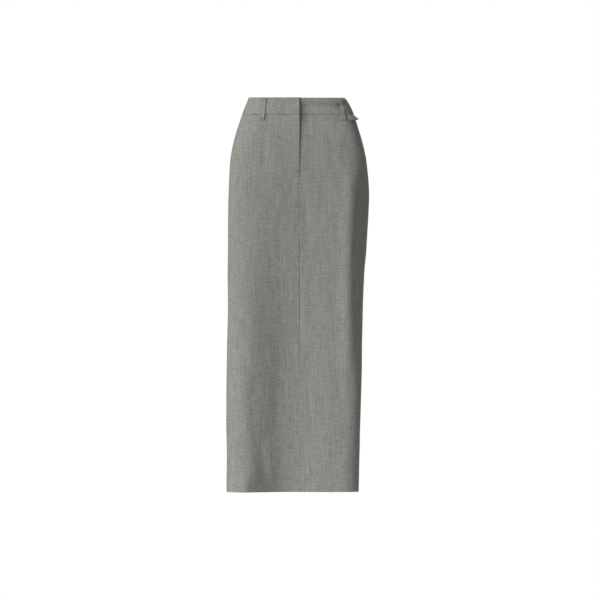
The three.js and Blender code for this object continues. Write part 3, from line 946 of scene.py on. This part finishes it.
LOOP_EDGE = 0.75


def belt_loop(name, turn, foot_turn, shift):
    head_z, foot_z = TOP_Z - LOOP["head"], -LOOP["foot"]
    z = rows(foot_z, head_z, BESIDE_LOOP_END, BESIDE_LOOP_END, LOOP_ROW_STEP)
    up = ((z - foot_z) / (head_z - foot_z))[:, None]
    side = np.array(BESIDE_LOOP_SIDE)
    across = np.concatenate([side, LOOP["width"] - side[::-1]]) - LOOP["width"] / 2
    middle = mix(foot_turn, turn, up)
    level = z[:, None]
    places = middle + across / turn_length(np.broadcast_to(middle, level.shape), level)
    edge = LOOP["width"] / 2 - abs(across)
    round_off = rounding(np.minimum(edge, np.minimum(level - foot_z, head_z - level)), LOOP_EDGE)
    free = smooth(np.minimum(level - foot_z, head_z - level), LOOP["seat"], LOOP["ease"])
    seat = LOOP["clear"] + BAND_PROUD * smooth(level, foot_z, WAIST_SEAM_Z)
    bow = LOOP["bow"] * np.sin(math.pi * up)
    over = seat + bow + mix(LOOP["fold"], LOOP["wall"], free) - round_off
    under = seat + free * bow + round_off
    follows = beside_fly(places, level)
    outer, inner = on_surface(places, level, follows + over), on_surface(places, level, follows + under)
    return new_piece(f"loop_{name}", outer, inner, across[None, :] + shift, level, SUITING)


LOOP_SHIFT = 160
loops = {
    name: belt_loop(name, turn, foot_turn, LOOP_SHIFT * (i + 1))
    for i, (name, (turn, foot_turn)) in enumerate(LOOPS.items())
}

# The small folded tab in the waist seam at the wearer's left side

TAB = {
    "turn": 0.666, "below": 2.2, "width": 24, "length": 20, "wall": 1.3, "gap": 0.8, "clear": 0.4,
    "curl": 1.0,
}
TAB_REACH = ((0.41, -0.69, -0.6), (0.66, -0.5, -0.6))  # where its front and back edges point
LEG_STEPS = 14
BEND_STEPS = 9
BEND_ANGLE = 67.5  # degrees either side of straight ahead, from the first step of the bend to its last
BEND_STEP = 0.4
ROOT_SHARE = 0.6  # of the tab's thickness, from its lower leg to the line it grows from
TAB_SHIFT = 60


def make_tab():
    """A hairpin of cloth: out along its lower leg, round, and back above, with a slight twist."""
    z = np.array(WAIST_SEAM_Z - TAB["below"])
    half_turn = TAB["width"] / 2 / float(quarter_length(TAB["turn"], z))
    bend_radius = (TAB["gap"] + TAB["wall"]) / 2
    thickness = bend_radius + TAB["wall"] / 2
    straight = TAB["length"] - thickness
    leg = np.linspace(0, straight, LEG_STEPS)
    path = np.concatenate([leg, np.full(BEND_STEPS, straight), leg[::-1]])
    bend = np.linspace(BEND_ANGLE, -BEND_ANGLE, BEND_STEPS)
    turned = np.radians(np.concatenate([np.full(LEG_STEPS, 90), bend, np.full(LEG_STEPS, -90)]))
    side = np.array(BESIDE_TAB_SIDE)
    offset = np.concatenate([side, TAB["width"] - side[::-1]]) - TAB["width"] / 2
    share = offset / TAB["width"] + 0.5
    reach = mix(np.array(TAB_REACH[0]), np.array(TAB_REACH[1]), share[:, None])
    reach /= np.linalg.norm(reach, axis=1, keepdims=True)
    turns = TAB["turn"] + mix(-half_turn, half_turn, share)
    levels = np.full(offset.shape, float(z))
    root = on_surface(turns, levels, TAB["clear"] + thickness * ROOT_SHARE + beside_fly(turns, levels))
    across = np.cross(np.gradient(root, axis=0), reach)
    across /= np.linalg.norm(across, axis=1, keepdims=True)
    round_off = rounding(TAB["width"] / 2 - abs(offset), TAB["wall"] / 2)
    curl = TAB["curl"] * (2 * offset / TAB["width"]) ** 2

    def face(half):
        radius = bend_radius + half * (TAB["wall"] / 2 - round_off)
        forward = path[:, None] + np.cos(turned)[:, None] * radius
        sideways = np.sin(turned)[:, None] * radius - curl * (forward / TAB["length"]) ** 2
        return root + forward[..., None] * reach + sideways[..., None] * across

    walked = np.concatenate([[0], np.cumsum(np.hypot(np.diff(path), BEND_STEP))])[:, None]
    return new_piece("side_tab_strip", face(1), face(-1), offset[None, :] + TAB_SHIFT, walked, SUITING)


side_tab = make_tab()

# Stitches. Threads are drawn once and set on points by geometry nodes, then turned into a mesh.


def new_input(group, name, kind):
    return group.interface.new_socket(name, in_out="INPUT", socket_type=kind)


def make_stitch_group():
    """Sets a short arched thread on every point, turned and sized as its attributes say."""
    group = bpy.data.node_groups.new("stitches", "GeometryNodeTree")
    new_input(group, "Geometry", "NodeSocketGeometry")
    new_input(group, "Thread radius", "NodeSocketFloat")
    new_input(group, "Arch", "NodeSocketFloat")
    new_input(group, "Thread", "NodeSocketMaterial")
    group.interface.new_socket("Geometry", in_out="OUTPUT", socket_type="NodeSocketGeometry")
    given = group.nodes.new("NodeGroupInput").outputs
    arch = add(group, "ShaderNodeCombineXYZ", {2: given["Arch"]}).outputs[0]
    ends = {"Resolution": 4, "Start": (-0.5, 0, 0), "Middle": arch, "End": (0.5, 0, 0)}
    line = add(group, "GeometryNodeCurveQuadraticBezier", ends).outputs[0]
    rim = add(group, "GeometryNodeCurvePrimitiveCircle", {"Resolution": 5, "Radius": given["Thread radius"]})
    tube = {"Curve": line, "Profile Curve": rim.outputs[0], "Fill Caps": True}
    thread = add(group, "GeometryNodeCurveToMesh", tube).outputs[0]
    points = add(group, "GeometryNodeMeshToPoints", {"Mesh": given["Geometry"]}).outputs[0]
    turned = add(group, "GeometryNodeInputNamedAttribute", {"Name": "turned"}, data_type="FLOAT_VECTOR")
    sized = add(group, "GeometryNodeInputNamedAttribute", {"Name": "sized"}, data_type="FLOAT_VECTOR")
    placed = {
        "Points": points,
        "Instance": thread,
        "Rotation": turned.outputs[0],
        "Scale": sized.outputs[0],
    }
    laid = add(group, "GeometryNodeInstanceOnPoints", placed).outputs[0]
    joined = add(group, "GeometryNodeRealizeInstances", {"Geometry": laid}).outputs[0]
    made = add(group, "GeometryNodeSetMaterial", {"Geometry": joined, "Material": given["Thread"]})
    group.links.new(made.outputs[0], group.nodes.new("NodeGroupOutput").inputs[0])
    return group


STITCH_GROUP = make_stitch_group()
THREAD_RADIUS = 0.16


def stitches(name, starts, ends, facing, arch, radius):
    """Threads from each start to each end, in millimetres, that arch up towards facing."""
    middle, along = (starts + ends) / 2 * MM, (ends - starts) * MM
    length = np.linalg.norm(along, axis=1)
    turned = []
    for way, out in zip(along, facing):
        x = Vector(way).normalized()
        y = Vector(out).cross(x).normalized()
        turned.append(Matrix((x, y, x.cross(y))).transposed().to_euler())
    mesh = bpy.data.meshes.new(name)
    mesh.from_pydata(middle.tolist(), [], [])
    rotation = mesh.attributes.new("turned", "FLOAT_VECTOR", "POINT")
    rotation.data.foreach_set("vector", np.array(turned, np.float32).ravel())
    size = mesh.attributes.new("sized", "FLOAT_VECTOR", "POINT")
    sizes = np.stack([length, np.ones(len(length)), np.ones(len(length))], axis=1)
    size.data.foreach_set("vector", sizes.astype(np.float32).ravel())
    piece = bpy.data.objects.new(name, mesh)
    bpy.context.collection.objects.link(piece)
    modifier = piece.modifiers.new("stitches", "NODES")
    modifier.node_group = STITCH_GROUP
    values = {"Thread radius": radius * MM, "Arch": arch * MM, "Thread": THREAD}
    for item in STITCH_GROUP.interface.items_tree:
        if item.in_out == "INPUT" and item.name in values:
            modifier[item.identifier] = values[item.name]
    evaluated = piece.evaluated_get(bpy.context.evaluated_depsgraph_get())
    made = bpy.data.meshes.new_from_object(evaluated)
    piece.modifiers.clear()
    piece.data = made
    piece.data.shade_smooth()
    return piece


TACK_ARCH = 0.5
TACK_JITTER = 0.12
TACK_LEAN = (0.1, 0.3)


def bar_tack(name, turn, z, off, bar, seed):
    """Close upright threads across a short bar, not quite even."""
    rng = np.random.default_rng(seed)
    count, half_height = bar["threads"], bar["height"] / 2
    scale = quarter_length(float(turn), np.array(float(z)))
    across = turn + np.linspace(-bar["width"] / 2, bar["width"] / 2, count) / scale
    low = z - half_height + rng.uniform(-TACK_JITTER, TACK_JITTER, count)
    high = z + half_height + rng.uniform(-TACK_JITTER, TACK_JITTER, count)
    lean = rng.uniform(*TACK_LEAN, count) / scale
    level = np.full(count, z)
    off = off + beside_fly(across, level)
    starts, ends = on_surface(across, low, off), on_surface(across + lean, high, off)
    facing = sample(SURFACE["normals"], across, level)
    return stitches(name, starts, ends, facing, TACK_ARCH, THREAD_RADIUS)


OVERLOCK = {
    "step": 3.0, "width": 3.4, "jitter": 0.25, "arch": 0.25, "radius": 0.13, "over_edge": 0.1,
    "from_ends": 4, "clear": 0.05,
}
HEM_CLEAR_TURN = 0.07  # the hem's overlock stops this far from both seams


def overlock(name, edge_turn, edge_z, in_turn, in_z, off):
    """A zigzag of threads that wraps the raw edge of a turned allowance, on the skirt's inside.
    Both rows of needle holes are given in order, and off is how far in they lie."""
    edge = on_surface(edge_turn, edge_z, off(edge_turn, edge_z))
    inside = on_surface(in_turn, in_z, off(in_turn, in_z))
    halfway = (edge[1:] + edge[:-1]) / 2
    facing = -sample(SURFACE["normals"], in_turn, in_z)[:-1]
    starts, ends = np.concatenate([inside[:-1], halfway]), np.concatenate([halfway, inside[1:]])
    facing = np.concatenate([facing, facing])
    return stitches(name, starts, ends, facing, OVERLOCK["arch"], OVERLOCK["radius"])


def needle_jitter(seed, shape):
    return np.random.default_rng(int(seed)).uniform(-OVERLOCK["jitter"], OVERLOCK["jitter"], shape)


def seam_overlock(name, seam, side, off):
    """Overlock down the raw edge of the allowance on one side of a seam."""
    low, high = HEM_Z + HEM_DEPTH + OVERLOCK["from_ends"], PANEL_TOP - OVERLOCK["from_ends"]
    z = np.arange(low, high, OVERLOCK["step"])
    jitter = needle_jitter(100 + seam * 10 + side, z.shape)
    scale = quarter_length(seam + side * 0.5, z)
    edge_turn = seam + side * (ALLOWANCE + OVERLOCK["over_edge"]) / scale
    in_turn = seam + side * (ALLOWANCE - OVERLOCK["width"] + jitter) / scale
    return overlock(name, edge_turn, z, in_turn, z, off)


def hem_overlock(name, start, end, off):
    """Overlock along the raw edge of the turned hem."""
    z = HEM_Z + HEM_DEPTH
    width = abs(end - start) * float(quarter_length((start + end) / 2, np.array(float(z))))
    turn = np.linspace(start, end, round(width / OVERLOCK["step"]))
    edge_z = np.full(turn.shape, z + OVERLOCK["over_edge"])
    in_z = z - OVERLOCK["width"] + needle_jitter(200 + start * 10, turn.shape)
    return overlock(name, turn, edge_z, turn, in_z, off)


FLY_TACK = {"centre": -4.5, "z": -163.5, "off": 0.1, "width": 7.5, "height": 2.4, "threads": 22}
tack_turn = FLY_TACK["centre"] / float(quarter_length(-0.5, np.array(FLY_TACK["z"])))
fly_tack = bar_tack("fly_bar_tack", tack_turn, FLY_TACK["z"], FLY_TACK["off"], FLY_TACK, 11)

LOOP_TACK = {"from_end": 3.2, "off": 0.3, "band_off": 0.4, "width": 9, "height": 1.8, "threads": 20}
LOOP_FOOT_Z = LOOP_TACK["from_end"] - LOOP["foot"]
LOOP_HEAD_Z = TOP_Z - LOOP["head"] - LOOP_TACK["from_end"]


def loop_tack(name, turn, z, off, seed):
    return bar_tack(name, turn, z, off + LOOP["clear"] + LOOP["fold"], LOOP_TACK, seed)


loop_tacks = {
    name: [
        loop_tack(f"tack_foot_{name}", foot_turn, LOOP_FOOT_Z, LOOP_TACK["off"], i),
        loop_tack(f"tack_head_{name}", turn, LOOP_HEAD_Z, BAND_PROUD + LOOP_TACK["band_off"], 20 + i),
    ]
    for i, (name, (turn, foot_turn)) in enumerate(LOOPS.items())
}


def inside_of(panel_off):
    return lambda turn, z: panel_off(turn, z) - TWO_LAYERS - OVERLOCK["clear"]


PANEL_OFFS = {
    "front_right": (fly_lift, -1, 0),
    "front_left": (left_front_off, 0, 1),
    "back_right": (right_back_off, -2, -1),
    "back_left": (left_back_off, 1, 2),
}
overlocks = {
    name: [
        seam_overlock(f"overlock_start_{name}", start, 1, inside_of(off)),
        seam_overlock(f"overlock_end_{name}", end, -1, inside_of(off)),
        hem_overlock(
            f"overlock_hem_{name}", start + HEM_CLEAR_TURN, end - HEM_CLEAR_TURN, inside_of(off)
        ),
    ]
    for name, (off, start, end) in PANEL_OFFS.items()
}

# Everything rides on the one body and stands for its solid

PIECES = {
    "front_right": PANELS[0],
    "front_left": PANELS[1],
    "back_right": PANELS[2],
    "back_left": PANELS[3],
    "waistband_right": BANDS[0],
    "waistband_left": BANDS[1],
    "fly_shield": fly_shield,
    "fly_zip": fly_zip,
    "waist_hook": waist_hook,
    "side_tab": side_tab,
    **{f"belt_loop_{name}": loop for name, loop in loops.items()},
}
for node, piece in PIECES.items():
    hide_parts(node)
    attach(piece, "root")
threads = {node: list(pieces) for node, pieces in overlocks.items()}
threads["front_right"].append(fly_tack)
for name, pair in loop_tacks.items():
    threads[f"belt_loop_{name}"] = pair
for piece in sum(threads.values(), []):
    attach(piece, "root")

# Stage, light and camera

FLOOR_Z = -1.3
FLOOR_RADIUS = 1.1


def make_floor():
    """A pale round floor below the skirt. It catches light and lies below the picture."""
    corners = 96
    angles = np.linspace(0, 2 * math.pi, corners, endpoint=False)
    ring = [(FLOOR_RADIUS * math.cos(a), FLOOR_RADIUS * math.sin(a), FLOOR_Z) for a in angles]
    mesh = bpy.data.meshes.new("floor")
    mesh.from_pydata(ring, [], [range(corners)])
    material, tree = new_material("pale matt floor")
    finish_material(tree, {"Base Color": linear("#e6e6e4"), "Roughness": 0.9})
    mesh.materials.append(material)
    floor = bpy.data.objects.new("floor", mesh)
    bpy.context.collection.objects.link(floor)
    return floor


make_floor()


def add_sun(name, azimuth, elevation, strength, spread):
    """A sun at an azimuth from straight ahead of the skirt towards the wearer's left."""
    a, e = math.radians(azimuth), math.radians(elevation)
    towards = Vector((math.sin(a) * math.cos(e), -math.cos(a) * math.cos(e), math.sin(e)))
    light = bpy.data.lights.new(name, "SUN")
    light.energy = strength
    light.angle = math.radians(spread)
    lamp = bpy.data.objects.new(name, light)
    lamp.rotation_mode = "QUATERNION"
    lamp.rotation_quaternion = towards.to_track_quat("Z", "Y")
    lamp.location = towards * 3
    bpy.context.collection.objects.link(lamp)


add_sun("key", azimuth=-48, elevation=20, strength=2.82, spread=36)
add_sun("back fill", azimuth=180, elevation=20, strength=1.1, spread=40)

AMBIENT = 0.30


def make_world():
    """Even pale light all round, and a white background for the camera."""
    world = bpy.data.worlds.new("studio")
    world.use_nodes = True
    tree = world.node_tree
    tree.nodes.clear()
    seen = add(tree, "ShaderNodeLightPath").outputs["Is Camera Ray"]
    strength = add(tree, "ShaderNodeMapRange", {"Value": seen, "To Min": AMBIENT, "To Max": 1.0}).outputs[0]
    light = add(tree, "ShaderNodeBackground", {"Color": (1, 1, 1, 1), "Strength": strength})
    add(tree, "ShaderNodeOutputWorld", {"Surface": light.outputs[0]})
    bpy.context.scene.world = world


make_world()
bpy.context.scene.view_settings.view_transform = "Standard"

CAMERA_PLACE = Vector((0.0075, -25, -0.101))
CAMERA_TARGET = Vector((0.0075, 0, -0.486))
SEEN_WIDTH = 1.502  # metres across the picture at the skirt
SENSOR = 36


def make_camera():
    camera = bpy.data.cameras.new("camera")
    towards = CAMERA_TARGET - CAMERA_PLACE
    camera.sensor_width = SENSOR
    camera.lens = SENSOR * towards.length / SEEN_WIDTH
    camera.clip_end = 100
    holder = bpy.data.objects.new("camera", camera)
    holder.location = CAMERA_PLACE
    holder.rotation_mode = "QUATERNION"
    holder.rotation_quaternion = towards.to_track_quat("-Z", "Y")
    bpy.context.collection.objects.link(holder)
    bpy.context.scene.camera = holder


make_camera()
